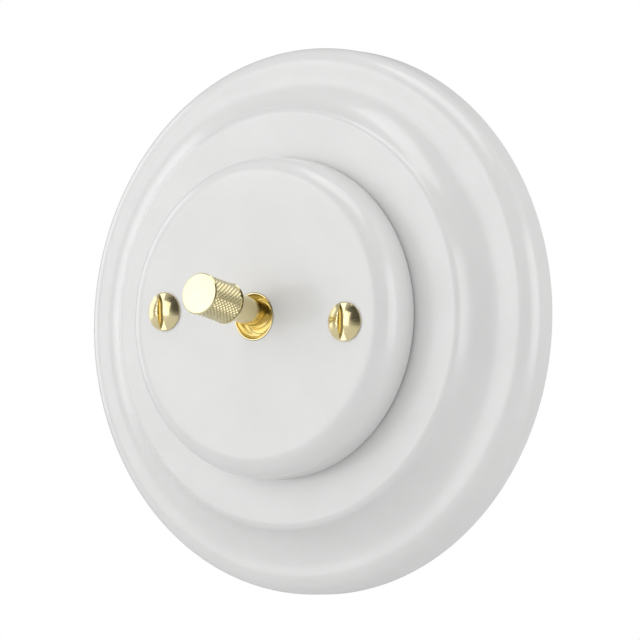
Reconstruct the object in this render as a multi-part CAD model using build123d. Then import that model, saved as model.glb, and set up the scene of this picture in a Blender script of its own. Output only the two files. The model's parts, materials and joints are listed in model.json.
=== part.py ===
from build123d import *
import os
from math import cos, radians, sin, sqrt, tan

# A flush round toggle wall switch in porcelain and brass.
# The pieces are built lying on their back: X right, Y up the wall, Z out of the wall, so a height is a
# distance in front of the wall and a negative one is inside the wall box. placed() turns each piece to
# its own frame: +X right, +Z up, -Y out of the wall, with the origin on the wall at the centre.

# ---- Clearances ----
RUNNING_GAP = 0.05       # radial, shaft in hole
FIT_GAP = 0.1            # radial, screw or sleeve in its hole
LOOSE_GAP = 0.4          # radial, porcelain over anything
CUT = 1.0                # how far a cutting tool runs past a face

# ---- Porcelain frame ----
FRAME_RADIUS = 50.0
RIM_WALL = 3.6           # height of the straight outer edge
RIM_ROUNDING = 3.7
RIM_BAND = 13.0          # width outside the flat plateau
COVE_RADIUS = 8.0        # hollow moulding between rim and plateau
CREST_ROUNDING = 1.6
PLATEAU_HEIGHT = 12.8
PLATEAU_THICKNESS = 4.5
FOOT_WIDTH = 5.5         # ring of the frame that rests on the wall
FOOT_EDGE = 0.4
RIM_THICKNESS = 4.9      # material under the bottom of the cove
CREST_WALL = 1.0         # plateau's edge to the deeper hollow under it

# ---- Porcelain cover ----
COVER_RADIUS = 29.1
COVER_HEIGHT = 21.8      # flat face
COVER_ROUNDING = 4.0
COVER_LOWER_EDGE = 1.1
COVER_THICKNESS = 4.5
COVER_OVERLAP = 2.4      # land that rests on the frame's plateau
SKIRT_DEPTH = 3.8        # sleeve that reaches into the frame's bore
SKIRT_WALL = 2.2
COVER_BOSS_RADIUS = 4.0
COVER_BOSS_DEPTH = 2.2

# ---- Cover screws, pillars and washers ----
SCREW_INSET = 3.9        # screw's centre inside the skirt
SCREW_RADIUS = 1.75
SCREW_HEAD_RADIUS = 3.5
SCREW_HEAD_HEIGHT = 1.6
SCREW_HEAD_EDGE = 0.35   # straight edge under the dome
SCREW_SLOT_WIDTH = 1.1
SCREW_SLOT_DEPTH = 1.1
SCREW_LENGTH = 14.0      # under the head
SCREW_TURNS = (6.5, 3.6)  # how far each slot is turned from upright, degrees
WASHER_RADIUS = 3.4
WASHER_THICKNESS = 0.8
PILLAR_WALL = 1.0        # pillar's flat to its screw
PILLAR_TAIL_RADIUS = 1.9

# ---- Mounting plate ----
PLATE_GAP = 0.5          # inside the frame's deeper hollow
PLATE_THICKNESS = 1.2
BOX_SCREW_SPACING = 60.0
BOX_SLOT_RADIUS = 1.9
BOX_SLOT_LENGTH = 7.0

# ---- Toggle: lever, ball, knob and bush ----
LEVER_THROW = 19.0       # whole travel, degrees; half of it each side of square
PIVOT_DEPTH = 3.7        # pivot below the cover's face
NECK_RADIUS = 2.5
NECK_REACH = 8.3         # neck in front of the cover's face
BALL_SHOULDER = 1.0      # ball outside the neck
KNOB_LENGTH = 8.7
KNOB_RADIUS = 3.75
KNOB_CHAMFER = 0.15
KNOB_STUD_RADIUS = 1.5
KNOB_STUD_LENGTH = 5.5
TAIL_RADIUS = 2.0
TAIL_WALL = 0.7
TAIL_LENGTH = 11.5
PIVOT_PIN_RADIUS = 0.8
PIN_TO_BORE = 1.1        # material between the pin's hole and the tail's bore
BUSH_WALL = 0.75
BUSH_LIP = 0.1           # stands proud of the cover
BUSH_LIP_WIDTH = 0.25
BUSH_LIP_ROUNDING = 0.08
BUSH_SEAT_CLEARANCE = 0.55  # seat's opening around the neck
BUSH_BOWL_SAG = 0.2     # how far the bowl's wall bulges from a straight cone
BUSH_HEADROOM = 1.5      # flange to the underside of the cover
BUSH_THREAD_END = 0.2    # past the nut
BUSH_FLANGE_WIDTH = 2.1
BUSH_FLANGE_THICKNESS = 1.2
NUT_WALL = 1.6
NUT_THICKNESS = 1.8
LOCK_WASHER_THICKNESS = 0.4

# ---- Plunger and spring ----
PLUNGER_TIP_RADIUS = 1.5
PLUNGER_STAND_OFF = 2.0  # middle of the tip beyond the tail's end
PLUNGER_STEM = 6.0
SPRING_WIRE_RADIUS = 0.2
SPRING_PITCH = 0.8

# ---- Contact rocker ----
ROCKER_SWING = 12.0      # whole travel, degrees
ROCKER_BEHIND_PIVOT = 18.5
ROCKER_PIN_RADIUS = 0.9
ROCKER_PIN_HEAD = 1.4
ROCKER_PIN_HEAD_LENGTH = 0.5
ROCKER_WIDTH = 8.0
ROCKER_END_GAP = 1.5     # to the pocket's wall
ROCKER_ARM_HEIGHT = 0.6
ROCKER_BACK = 1.6        # back face from the axis
SADDLE_GAP = 0.27        # plunger tip to saddle
SADDLE_THICKNESS = 0.6
SADDLE_REACH = 5.2
SADDLE_MARGIN = 0.4      # saddle inside the rocker's side
BRIDGE_THICKNESS = 0.6
BRIDGE_WIDTH = 4.0
CONTACT_INSET = 1.5      # contact's centre from the rocker's end
CONTACT_RADIUS = 1.4
CONTACT_THICKNESS = 0.8
CONTACT_GAP = 0.15       # closed pair of contacts, left clear

# ---- Switch base and mechanism cap ----
BASE_DEPTH = 27.0
BASE_FLANGE_OVERHANG = 2.0
BASE_EAR_OVERHANG = 1.5
BASE_FLANGE_THICKNESS = 3.8
BASE_CORNER = 2.0
BASE_HOLE_GAP = 0.5      # base in the plate's cut-out, each side
PILLAR_GAP = 0.95        # base flange to pillar
POCKET_WALL = 2.5
POCKET_DROP = 6.2        # pocket floor behind the rocker's axis
POCKET_CORNER = 1.5
WEB_THICKNESS = 2.0      # between the front pocket and the terminal pockets
CAP_WALL = 1.6
EAR_WIDTH = 9.0
EAR_MARGIN = 2.6         # screw to the end of its ear
EAR_THICKNESS = 1.6
EAR_CORNER = 1.5
EAR_SCREW_RADIUS = 1.25
EAR_SCREW_HEAD_RADIUS = 2.2
EAR_SCREW_HEAD_HEIGHT = 1.5
EAR_SCREW_SLOT = 0.7
EAR_NUT_FLATS = 4.0
EAR_NUT_THICKNESS = 1.8

# ---- Terminals ----
STRIP_THICKNESS = 0.6
STRIP_WIDTH = 4.0
STRIP_OVERLAP = 2.0      # past the middle of the contact
LEG_WIDTH = 3.0
LEG_THICKNESS = 0.8
TERMINAL_WIDTH = 7.0
TERMINAL_DEPTH = 6.4
TERMINAL_HEIGHT = 9.1
TERMINAL_INSET = 1.5     # block inside the base's side
TERMINAL_BACK_SET = 0.5  # block's back inside the base's back
TERMINAL_CEILING = 0.2   # block to the top of its pocket
WIRE_RADIUS = 1.4
WIRE_DEPTH = 7.5
WIRE_SHIFT = 0.8         # wire hole from the block's middle, towards the centre
CLAMP_RADIUS = 1.1
CLAMP_FROM_BACK = 4.4
CLAMP_HEAD_RADIUS = 1.9
CLAMP_HEAD_HEIGHT = 1.2
CLAMP_STAND_OFF = 0.3
FORK_THICKNESS = 0.8
FORK_WIDTH = 4.4
EARTH_BELOW_SCREW = 6.4  # earth block's centre below the lower mechanism screw
EARTH_HEIGHT = 9.0
EARTH_RIVET_RADIUS = 1.0
EARTH_RIVET_OFFSET = 2.3

# ---- Sizes and heights that follow from the ones above ----
CREST_RADIUS = FRAME_RADIUS - RIM_BAND
HOLLOW_RADIUS = CREST_RADIUS - CREST_WALL
RIDGE_HEIGHT = RIM_WALL + RIM_ROUNDING
PLATE_RADIUS = HOLLOW_RADIUS - PLATE_GAP
FRAME_BORE_RADIUS = COVER_RADIUS - COVER_OVERLAP
COVER_INNER_HEIGHT = COVER_HEIGHT - COVER_THICKNESS
SKIRT_RADIUS = FRAME_BORE_RADIUS - LOOSE_GAP
SKIRT_INNER_RADIUS = SKIRT_RADIUS - SKIRT_WALL
SCREW_OFFSET = SKIRT_INNER_RADIUS - SCREW_INSET
BOSS_HEIGHT = COVER_INNER_HEIGHT - COVER_BOSS_DEPTH
PILLAR_TOP = BOSS_HEIGHT - WASHER_THICKNESS
PILLAR_FLATS = 2 * (SCREW_RADIUS + PILLAR_WALL)
FLANGE_TOP = PLATE_THICKNESS + BASE_FLANGE_THICKNESS
CAP_TOP = COVER_INNER_HEIGHT - BUSH_HEADROOM - BUSH_FLANGE_THICKNESS
CAP_INNER_TOP = CAP_TOP - CAP_WALL
PIVOT_HEIGHT = COVER_HEIGHT - PIVOT_DEPTH
BALL_RADIUS = NECK_RADIUS + BALL_SHOULDER
KNOB_START = PIVOT_DEPTH + NECK_REACH
BUSH_BORE_RADIUS = BALL_RADIUS + RUNNING_GAP
BUSH_RADIUS = BUSH_BORE_RADIUS + BUSH_WALL
BUSH_SEAT_RADIUS = NECK_RADIUS + BUSH_SEAT_CLEARANCE
BUSH_TOP = COVER_HEIGHT + BUSH_LIP
BUSH_BOTTOM = CAP_INNER_TOP - LOCK_WASHER_THICKNESS - NUT_THICKNESS - BUSH_THREAD_END
BUSH_FLANGE_RADIUS = BUSH_RADIUS + BUSH_FLANGE_WIDTH
NUT_FLATS = 2 * (BUSH_RADIUS + NUT_WALL)
TAIL_BORE_START = PIVOT_PIN_RADIUS + PIN_TO_BORE
TAIL_BORE_RADIUS = TAIL_RADIUS - TAIL_WALL
PLUNGER_RADIUS = TAIL_BORE_RADIUS - RUNNING_GAP
PLUNGER_REACH = TAIL_LENGTH + PLUNGER_STAND_OFF
BASE_FLANGE_WIDTH = 2 * (SCREW_OFFSET - PILLAR_FLATS / 2 - PILLAR_GAP)
BASE_WIDTH = BASE_FLANGE_WIDTH - 2 * BASE_FLANGE_OVERHANG
BASE_FLANGE_DEPTH = BASE_DEPTH + 2 * BASE_EAR_OVERHANG
EAR_SCREW_OFFSET = BASE_FLANGE_DEPTH / 2 + EAR_SCREW_HEAD_RADIUS + LOOSE_GAP
EAR_REACH = EAR_SCREW_OFFSET + EAR_MARGIN
POCKET_WIDTH = BASE_WIDTH - 2 * POCKET_WALL
POCKET_DEPTH = BASE_DEPTH - 2 * POCKET_WALL
ROCKER_AXIS_HEIGHT = PIVOT_HEIGHT - ROCKER_BEHIND_PIVOT
ROCKER_REACH = POCKET_DEPTH / 2 - ROCKER_END_GAP
CONTACT_OFFSET = ROCKER_REACH - CONTACT_INSET
SADDLE_LEAN = ROCKER_SWING / 2 + LEVER_THROW / 4
SADDLE_HEIGHT = (ROCKER_BEHIND_PIVOT - PLUNGER_REACH
                 - (PLUNGER_TIP_RADIUS + SADDLE_GAP) / cos(radians(SADDLE_LEAN)))
POCKET_FLOOR = ROCKER_AXIS_HEIGHT - POCKET_DROP
STRIP_TOP = POCKET_FLOOR + STRIP_THICKNESS
TERMINAL_TOP = POCKET_FLOOR - WEB_THICKNESS
BLOCK_TOP = TERMINAL_TOP - TERMINAL_CEILING
BLOCK_BOTTOM = BLOCK_TOP - TERMINAL_HEIGHT
BASE_BACK = BLOCK_BOTTOM - TERMINAL_BACK_SET
TERMINAL_OFFSET = BASE_WIDTH / 2 - TERMINAL_INSET - TERMINAL_WIDTH / 2
EARTH_OFFSET = EAR_SCREW_OFFSET + EARTH_BELOW_SCREW

LYING = (Align.CENTER, Align.CENTER, Align.MIN)


# ---- Shapes used again and again ----
def rod(radius, bottom, top, x=0.0, y=0.0):
    """A round bar along Z between two heights."""
    return Pos(x, y, bottom) * Cylinder(radius, top - bottom, align=LYING)


def cross_rod(radius, left, right, y, height):
    """A round bar along X."""
    return Pos(left, y, height) * Rot(0, 90, 0) * Cylinder(radius, right - left, align=LYING)


def block(width, depth, bottom, top, x=0.0, y=0.0, corner=0.0):
    """A box between two heights, with rounded upright corners if asked."""
    body = Pos(x, y, bottom) * Box(width, depth, top - bottom, align=LYING)
    return fillet(body.edges().filter_by(Axis.Z), corner) if corner else body


def hexagon(flats, bottom, top, x=0.0, y=0.0):
    """A hexagonal bar along Z, measured across its flats."""
    outline = RegularPolygon(flats / 2, 6, major_radius=False)
    return Pos(x, y, bottom) * extrude(outline, top - bottom)


def turned(edges):
    """A piece turned about Z from a closed outline of (radius, height) edges."""
    return revolve(Plane.XZ * make_face(edges), axis=Axis.Z)


def side_profile(points, width):
    """A bar along X with a closed outline of (y, z) points, centred on X = 0."""
    outline = Plane.YZ * make_face(Polyline(*points, close=True))
    return extrude(outline, width / 2, both=True)


def dome_screw(radius, length, head_radius, head_height, edge, slot_width, slot_depth):
    """A slotted round-headed screw, head up, with the underside of its head at height 0."""
    rise = head_height - edge
    ball = (head_radius ** 2 + rise ** 2) / (2 * rise)
    dome = Pos(0, 0, head_height - ball) * Sphere(ball)
    head = rod(head_radius, 0, head_height) & dome
    slot = block(slot_width, 2 * head_radius + CUT, head_height - slot_depth, head_height + CUT)
    return rod(radius, -length, 0) + (head - slot)


def placed(piece):
    """Turns a piece from lying on its back to hanging on the wall."""
    return Plane.XZ * piece


def on_lever(piece):
    """Sets a piece drawn along the lever, pivot at 0, into the lever's resting place, tipped up."""
    return Pos(0, 0, PIVOT_HEIGHT) * Rot(-LEVER_THROW / 2, 0, 0) * piece


def on_rocker(piece):
    """Sets a piece drawn about the rocker's axis into the rocker's resting place, lower end back."""
    return Pos(0, 0, ROCKER_AXIS_HEIGHT) * Rot(ROCKER_SWING / 2, 0, 0) * piece


# ---- Porcelain ----
def porcelain_frame():
    """Stepped ring: rounded rim, hollow cove, rounded crest and a flat plateau, hollow at the back."""
    crest_height = PLATEAU_HEIGHT - CREST_ROUNDING
    reach = COVE_RADIUS + CREST_ROUNDING
    cove_centre_height = RIDGE_HEIGHT + COVE_RADIUS
    drop = cove_centre_height - crest_height
    cove_radius_out = CREST_RADIUS + sqrt(reach ** 2 - drop ** 2)
    cove_centre = Vector(cove_radius_out, cove_centre_height)
    crest_centre = Vector(CREST_RADIUS, crest_height)
    meeting = cove_centre + (crest_centre - cove_centre) * (COVE_RADIUS / reach)
    middle = (Vector(0, -1) + (meeting - cove_centre) / COVE_RADIUS).normalized()
    crest_middle = (Vector(0, 1) + (meeting - crest_centre) / CREST_ROUNDING).normalized()
    rim = CenterArc((FRAME_RADIUS - RIM_ROUNDING, RIM_WALL), RIM_ROUNDING, 0, 90)
    cove_start = Vector(cove_radius_out, RIDGE_HEIGHT)
    cove = ThreePointArc(cove_start, cove_centre + middle * COVE_RADIUS, meeting)
    crest_end = Vector(CREST_RADIUS, PLATEAU_HEIGHT)
    crest = ThreePointArc(meeting, crest_centre + crest_middle * CREST_ROUNDING, crest_end)
    inner_top = PLATEAU_HEIGHT - PLATEAU_THICKNESS
    foot_radius = FRAME_RADIUS - FOOT_WIDTH
    foot_top = RIDGE_HEIGHT - RIM_THICKNESS
    back = Polyline(
        crest_end,
        (FRAME_BORE_RADIUS, PLATEAU_HEIGHT),
        (FRAME_BORE_RADIUS, inner_top),
        (HOLLOW_RADIUS, inner_top),
        (HOLLOW_RADIUS, foot_top),
        (foot_radius, foot_top),
        (foot_radius, 0),
        (FRAME_RADIUS - FOOT_EDGE, 0),
        (FRAME_RADIUS, FOOT_EDGE),
        (FRAME_RADIUS, RIM_WALL),
    )
    return turned([rim, Line(rim @ 1, cove_start), cove, crest, back])


def porcelain_cover():
    """Round cap with a sleeve into the frame's bore, a bush hole and two screw bosses."""
    shoulder = COVER_RADIUS - COVER_ROUNDING
    face = CenterArc((shoulder, COVER_HEIGHT - COVER_ROUNDING), COVER_ROUNDING, 0, 90)
    lower_centre = (COVER_RADIUS - COVER_LOWER_EDGE, PLATEAU_HEIGHT + COVER_LOWER_EDGE)
    lower = CenterArc(lower_centre, COVER_LOWER_EDGE, -90, 90)
    bush_hole = BUSH_RADIUS + FIT_GAP
    inside = Polyline(
        face @ 1,
        (bush_hole, COVER_HEIGHT),
        (bush_hole, COVER_INNER_HEIGHT),
        (SKIRT_INNER_RADIUS, COVER_INNER_HEIGHT),
        (SKIRT_INNER_RADIUS, PLATEAU_HEIGHT - SKIRT_DEPTH),
        (SKIRT_RADIUS, PLATEAU_HEIGHT - SKIRT_DEPTH),
        (SKIRT_RADIUS, PLATEAU_HEIGHT),
        lower @ 0,
    )
    shell = turned([lower, Line(lower @ 1, face @ 0), face, inside])
    for x in (-SCREW_OFFSET, SCREW_OFFSET):
        shell += rod(COVER_BOSS_RADIUS, BOSS_HEIGHT, COVER_INNER_HEIGHT, x)
    for x in (-SCREW_OFFSET, SCREW_OFFSET):
        shell -= rod(SCREW_RADIUS + FIT_GAP, BOSS_HEIGHT - CUT, COVER_HEIGHT + CUT, x)
    return shell


# ---- Fixings of the cover ----
def cover_screws():
    """Two slotted dome-head brass screws on the cover's face."""
    screws = []
    for side, turn in zip((-1, 1), SCREW_TURNS):
        screw = dome_screw(SCREW_RADIUS, SCREW_LENGTH, SCREW_HEAD_RADIUS, SCREW_HEAD_HEIGHT,
                           SCREW_HEAD_EDGE, SCREW_SLOT_WIDTH, SCREW_SLOT_DEPTH)
        screws.append(Pos(side * SCREW_OFFSET, 0, COVER_HEIGHT) * Rot(0, 0, turn) * screw)
    return Compound(screws)


def cover_washers():
    """Fibre washers that keep the pillars off the porcelain."""
    return Compound([rod(WASHER_RADIUS, PILLAR_TOP, BOSS_HEIGHT, x)
                     - rod(SCREW_RADIUS + FIT_GAP, PILLAR_TOP - CUT, BOSS_HEIGHT + CUT, x)
                     for x in (-SCREW_OFFSET, SCREW_OFFSET)])


def cover_pillars():
    """Two threaded hexagonal pillars riveted into the mounting plate."""
    pillars = []
    for x in (-SCREW_OFFSET, SCREW_OFFSET):
        pillar = hexagon(PILLAR_FLATS, PLATE_THICKNESS, PILLAR_TOP, x)
        pillar += rod(PILLAR_TAIL_RADIUS, 0, PLATE_THICKNESS, x)
        thread_end = COVER_HEIGHT - SCREW_LENGTH - CUT
        pillars.append(pillar - rod(SCREW_RADIUS + RUNNING_GAP, thread_end, PILLAR_TOP + CUT, x))
    return Compound(pillars)


def mounting_plate():
    """Round steel plate with slots for the wall box screws and a cut-out for the switch base."""
    plate = rod(PLATE_RADIUS, 0, PLATE_THICKNESS)
    plate -= block(BASE_WIDTH + 2 * BASE_HOLE_GAP, BASE_DEPTH + 2 * BASE_HOLE_GAP,
                   -CUT, PLATE_THICKNESS + CUT, corner=BASE_CORNER)
    for side in (-1, 1):
        slot = SlotOverall(BOX_SLOT_LENGTH, 2 * BOX_SLOT_RADIUS)
        plate -= Pos(side * BOX_SCREW_SPACING / 2, 0, 0) * extrude(slot, PLATE_THICKNESS)
        plate -= rod(PILLAR_TAIL_RADIUS, 0, PLATE_THICKNESS, side * SCREW_OFFSET)
        plate -= rod(EAR_SCREW_RADIUS + FIT_GAP, 0, PLATE_THICKNESS, 0, side * EAR_SCREW_OFFSET)
        plate -= rod(EARTH_RIVET_RADIUS, 0, PLATE_THICKNESS, side * EARTH_RIVET_OFFSET, -EARTH_OFFSET)
    return plate


# ---- Toggle ----
def toggle_bush():
    """Polished sleeve with a bowl-shaped mouth, a round seat for the lever's ball and a flange."""
    mouth_radius = BUSH_RADIUS - BUSH_LIP_WIDTH
    seat_height = PIVOT_HEIGHT + sqrt(BUSH_BORE_RADIUS ** 2 - BUSH_SEAT_RADIUS ** 2)
    seat = ThreePointArc((BUSH_BORE_RADIUS, PIVOT_HEIGHT),
                         (BUSH_BORE_RADIUS * cos(radians(LEVER_THROW)),
                          PIVOT_HEIGHT + BUSH_BORE_RADIUS * sin(radians(LEVER_THROW))),
                         (BUSH_SEAT_RADIUS, seat_height))
    mouth = Vector(mouth_radius, COVER_HEIGHT)
    bowl_middle = (mouth + seat @ 1) * 0.5 + Vector(BUSH_BOWL_SAG, -BUSH_BOWL_SAG)
    bowl = ThreePointArc(seat @ 1, bowl_middle, mouth)
    rounding = CenterArc((BUSH_RADIUS - BUSH_LIP_ROUNDING, BUSH_TOP - BUSH_LIP_ROUNDING),
                         BUSH_LIP_ROUNDING, 0, 90)
    lip = Polyline(mouth, (mouth_radius + BUSH_LIP_WIDTH / 3, BUSH_TOP), rounding @ 1)
    outside = Polyline(
        rounding @ 0,
        (BUSH_RADIUS, CAP_TOP + BUSH_FLANGE_THICKNESS),
        (BUSH_FLANGE_RADIUS, CAP_TOP + BUSH_FLANGE_THICKNESS),
        (BUSH_FLANGE_RADIUS, CAP_TOP),
        (BUSH_RADIUS, CAP_TOP),
        (BUSH_RADIUS, BUSH_BOTTOM),
        (BUSH_BORE_RADIUS, BUSH_BOTTOM),
        seat @ 0,
    )
    bush = turned([seat, bowl, lip, rounding, outside])
    return bush - cross_rod(PIVOT_PIN_RADIUS, -BUSH_RADIUS - CUT, BUSH_RADIUS + CUT, 0, PIVOT_HEIGHT)


def lock_washer():
    """Plain washer between the cap and the bush nut."""
    bottom = CAP_INNER_TOP - LOCK_WASHER_THICKNESS
    return (rod(BUSH_FLANGE_RADIUS, bottom, CAP_INNER_TOP)
            - rod(BUSH_RADIUS + FIT_GAP, bottom - CUT, CAP_INNER_TOP + CUT))


def bush_nut():
    """Thin hexagonal nut that clamps the bush to the cap."""
    top = CAP_INNER_TOP - LOCK_WASHER_THICKNESS
    nut = hexagon(NUT_FLATS, top - NUT_THICKNESS, top)
    return nut - rod(BUSH_RADIUS + RUNNING_GAP, top - NUT_THICKNESS - CUT, top + CUT)


def pivot_pin():
    """Cross pin through the bush and the lever's ball."""
    half = sqrt(BUSH_RADIUS ** 2 - PIVOT_PIN_RADIUS ** 2)
    return cross_rod(PIVOT_PIN_RADIUS, -half, half, 0, PIVOT_HEIGHT)


def lever_shaft():
    """Ball, polished neck with a stud for the knob, and a bored tail for the plunger."""
    shaft = Sphere(BALL_RADIUS) + rod(NECK_RADIUS, 0, KNOB_START) + rod(TAIL_RADIUS, -TAIL_LENGTH, 0)
    shaft += rod(KNOB_STUD_RADIUS, KNOB_START, KNOB_START + KNOB_STUD_LENGTH)
    shaft -= cross_rod(PIVOT_PIN_RADIUS + RUNNING_GAP, -BALL_RADIUS, BALL_RADIUS, 0, 0)
    shaft -= rod(TAIL_BORE_RADIUS, -TAIL_LENGTH - CUT, -TAIL_BORE_START)
    return on_lever(shaft)


def knob():
    """Straight barrel screwed on the neck; its chamfered end faces out."""
    top = KNOB_START + KNOB_LENGTH
    barrel = rod(KNOB_RADIUS, KNOB_START, top)
    barrel = chamfer(barrel.edges().filter_by(GeomType.CIRCLE), KNOB_CHAMFER)
    hole_end = KNOB_START + KNOB_STUD_LENGTH + RUNNING_GAP
    return on_lever(barrel - rod(KNOB_STUD_RADIUS + RUNNING_GAP, KNOB_START - CUT, hole_end))


def plunger():
    """Pin with a round tip that slides in the lever's tail and presses on the rocker."""
    tip = Pos(0, 0, -PLUNGER_REACH) * Sphere(PLUNGER_TIP_RADIUS)
    return on_lever(tip + rod(PLUNGER_RADIUS, -PLUNGER_REACH, PLUNGER_STEM - PLUNGER_REACH))


def plunger_spring():
    """Compression spring between the plunger and the bottom of the tail's bore."""
    bottom = PLUNGER_STEM - PLUNGER_REACH + SPRING_WIRE_RADIUS + RUNNING_GAP
    top = -TAIL_BORE_START - SPRING_WIRE_RADIUS - RUNNING_GAP
    coil_radius = TAIL_BORE_RADIUS - SPRING_WIRE_RADIUS - FIT_GAP
    path = Pos(0, 0, bottom) * Helix(SPRING_PITCH, top - bottom, coil_radius)
    wire = Plane(path @ 0, z_dir=path % 0) * Circle(SPRING_WIRE_RADIUS)
    return on_lever(sweep(wire, path=path, is_frenet=True))


# ---- Contact rocker ----
def contact_rocker():
    """Moulded rocker with a valley for the saddle and a hole for its pin."""
    rise = tan(radians(SADDLE_LEAN))
    seat = SADDLE_HEIGHT - SADDLE_THICKNESS
    body = side_profile([
        (-ROCKER_REACH, -ROCKER_BACK),
        (ROCKER_REACH, -ROCKER_BACK),
        (ROCKER_REACH, ROCKER_ARM_HEIGHT),
        (SADDLE_REACH, seat + SADDLE_REACH * rise),
        (0, seat),
        (-SADDLE_REACH, seat + SADDLE_REACH * rise),
        (-ROCKER_REACH, ROCKER_ARM_HEIGHT),
    ], ROCKER_WIDTH)
    return on_rocker(body - cross_rod(ROCKER_PIN_RADIUS + RUNNING_GAP, -ROCKER_WIDTH, ROCKER_WIDTH, 0, 0))


def rocker_saddle():
    """Bent steel strip in the rocker's valley that the plunger runs on."""
    rise = SADDLE_REACH * tan(radians(SADDLE_LEAN))
    seat = SADDLE_HEIGHT - SADDLE_THICKNESS
    return on_rocker(side_profile([
        (0, seat),
        (SADDLE_REACH, seat + rise),
        (SADDLE_REACH, SADDLE_HEIGHT + rise),
        (0, SADDLE_HEIGHT),
        (-SADDLE_REACH, SADDLE_HEIGHT + rise),
        (-SADDLE_REACH, seat + rise),
    ], ROCKER_WIDTH - 2 * SADDLE_MARGIN))


def contact_bridge():
    """Brass strip on the rocker's back with a contact button near each end."""
    bottom = -ROCKER_BACK - BRIDGE_THICKNESS
    bridge = block(BRIDGE_WIDTH, 2 * ROCKER_REACH, bottom, -ROCKER_BACK)
    for y in (-CONTACT_OFFSET, CONTACT_OFFSET):
        bridge += rod(CONTACT_RADIUS, bottom - CONTACT_THICKNESS, bottom, 0, y)
    return on_rocker(bridge)


def rocker_pin():
    """Riveted pin that carries the rocker between the common terminal's ears."""
    reach = ROCKER_WIDTH / 2 + LOOSE_GAP + FORK_THICKNESS
    pin = cross_rod(ROCKER_PIN_RADIUS, -reach, reach, 0, ROCKER_AXIS_HEIGHT)
    pin += cross_rod(ROCKER_PIN_HEAD, reach, reach + ROCKER_PIN_HEAD_LENGTH, 0, ROCKER_AXIS_HEIGHT)
    pin += cross_rod(ROCKER_PIN_HEAD, -reach - ROCKER_PIN_HEAD_LENGTH, -reach, 0, ROCKER_AXIS_HEIGHT)
    return pin


def fixed_contacts():
    """Two contact rivets on the line strips; each top lies flat to the rocker's contact when closed."""
    lift = -ROCKER_BACK - BRIDGE_THICKNESS - CONTACT_THICKNESS - CONTACT_GAP
    contacts = []
    for side in (-1, 1):
        above = Pos(0, side * CONTACT_OFFSET, lift) * Box(BASE_WIDTH, POCKET_DEPTH, BASE_WIDTH, align=LYING)
        turn = Rot(-side * ROCKER_SWING / 2, 0, 0)
        clear = Pos(0, 0, ROCKER_AXIS_HEIGHT) * turn * above
        contacts.append(rod(CONTACT_RADIUS, STRIP_TOP, ROCKER_AXIS_HEIGHT, 0, side * CONTACT_OFFSET) - clear)
    return Compound(contacts)


# ---- Terminals ----
def terminal_block(side, y):
    """Block with a wire hole from the back and a clamp screw hole from its outer side."""
    x = side * TERMINAL_OFFSET
    wire_x = side * (TERMINAL_OFFSET - WIRE_SHIFT)
    outer = side * (TERMINAL_OFFSET + TERMINAL_WIDTH / 2 + CUT)
    body = block(TERMINAL_WIDTH, TERMINAL_DEPTH, BLOCK_BOTTOM, BLOCK_TOP, x, y)
    body -= rod(WIRE_RADIUS, BLOCK_BOTTOM, BLOCK_BOTTOM + WIRE_DEPTH, wire_x, y)
    hole = cross_rod(CLAMP_RADIUS + RUNNING_GAP, min(wire_x, outer), max(wire_x, outer),
                     y, BLOCK_BOTTOM + CLAMP_FROM_BACK)
    return body - hole


def terminal_leg(side, y):
    """Leg from the pocket floor down through the base's web to the block."""
    return block(LEG_WIDTH, LEG_THICKNESS, BLOCK_TOP, STRIP_TOP, side * TERMINAL_OFFSET, y)


def line_terminal(side_y):
    """Strip under a fixed contact, leg and block, on the right of the base."""
    y = side_y * CONTACT_OFFSET
    end = TERMINAL_OFFSET + LEG_WIDTH / 2
    strip = block(end + STRIP_OVERLAP, STRIP_WIDTH, POCKET_FLOOR, STRIP_TOP, (end - STRIP_OVERLAP) / 2, y)
    return strip + terminal_leg(1, y) + terminal_block(1, y)


def common_terminal():
    """Fork that carries the rocker pin, with its strip, leg and block, on the left of the base."""
    inner = ROCKER_WIDTH / 2 + LOOSE_GAP
    outer = inner + FORK_THICKNESS
    end = TERMINAL_OFFSET + LEG_WIDTH / 2
    fork = block(end + outer, FORK_WIDTH, POCKET_FLOOR, STRIP_TOP, (outer - end) / 2)
    for side in (-1, 1):
        fork += block(FORK_THICKNESS, FORK_WIDTH, POCKET_FLOOR,
                      ROCKER_AXIS_HEIGHT + FORK_WIDTH / 2, side * (inner + outer) / 2)
    fork -= cross_rod(ROCKER_PIN_RADIUS, -outer - CUT, outer + CUT, 0, ROCKER_AXIS_HEIGHT)
    return fork + terminal_leg(-1, 0) + terminal_block(-1, 0)


def clamp_screw(side, y, height, face):
    """Slotted clamp screw lying along X, backed out so that its tip clears the wire hole."""
    tip = TERMINAL_OFFSET - WIRE_SHIFT + WIRE_RADIUS + RUNNING_GAP
    head = face + CLAMP_STAND_OFF
    screw = dome_screw(CLAMP_RADIUS, head - tip, CLAMP_HEAD_RADIUS, CLAMP_HEAD_HEIGHT,
                       CLAMP_HEAD_HEIGHT / 3, SCREW_SLOT_WIDTH / 2, CLAMP_HEAD_HEIGHT / 2)
    return Pos(side * head, y, height) * Rot(0, side * 90, 0) * screw


def terminal_screws():
    """Clamp screws of the common and the two line terminals."""
    height = BLOCK_BOTTOM + CLAMP_FROM_BACK
    face = TERMINAL_OFFSET + TERMINAL_WIDTH / 2
    places = ((-1, 0), (1, CONTACT_OFFSET), (1, -CONTACT_OFFSET))
    return Compound([clamp_screw(side, y, height, face) for side, y in places])


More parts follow.
